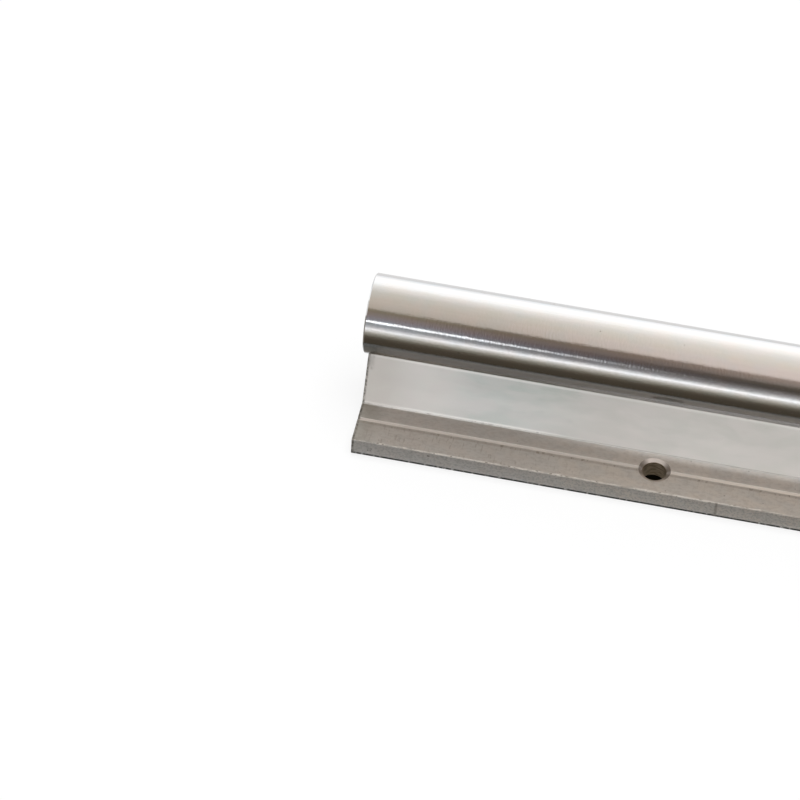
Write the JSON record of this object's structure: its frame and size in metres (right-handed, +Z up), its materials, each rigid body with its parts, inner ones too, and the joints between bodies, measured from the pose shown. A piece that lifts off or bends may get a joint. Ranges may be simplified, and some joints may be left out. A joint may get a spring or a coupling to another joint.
{
  "type": "supported round rail",
  "caption": "Ground round shaft held along its whole length on an extruded aluminium support with a drilled flange, as a linear bearing's way.",
  "frame": {"origin": "on the mounting face, under the middle of the shaft's length and on the rail's centre plane", "axes": "+X along the shaft, +Y across the flange to the side away from the camera, +Z up from the mounting face to the shaft"},
  "size_m": [0.3, 0.045, 0.037],
  "materials": {
    "extruded_aluminium": "mill-finish extrusion with fine lengthwise lines",
    "ground_shaft": "ground and hard-chromed, near mirror",
    "screw_steel": "black oxide"
  },
  "bodies": {
    "root": {"support_rail": "extruded_aluminium", "shaft": "ground_shaft", "shaft_screw_1": "screw_steel", "shaft_screw_2": "screw_steel"}
  },
  "joints": []
}
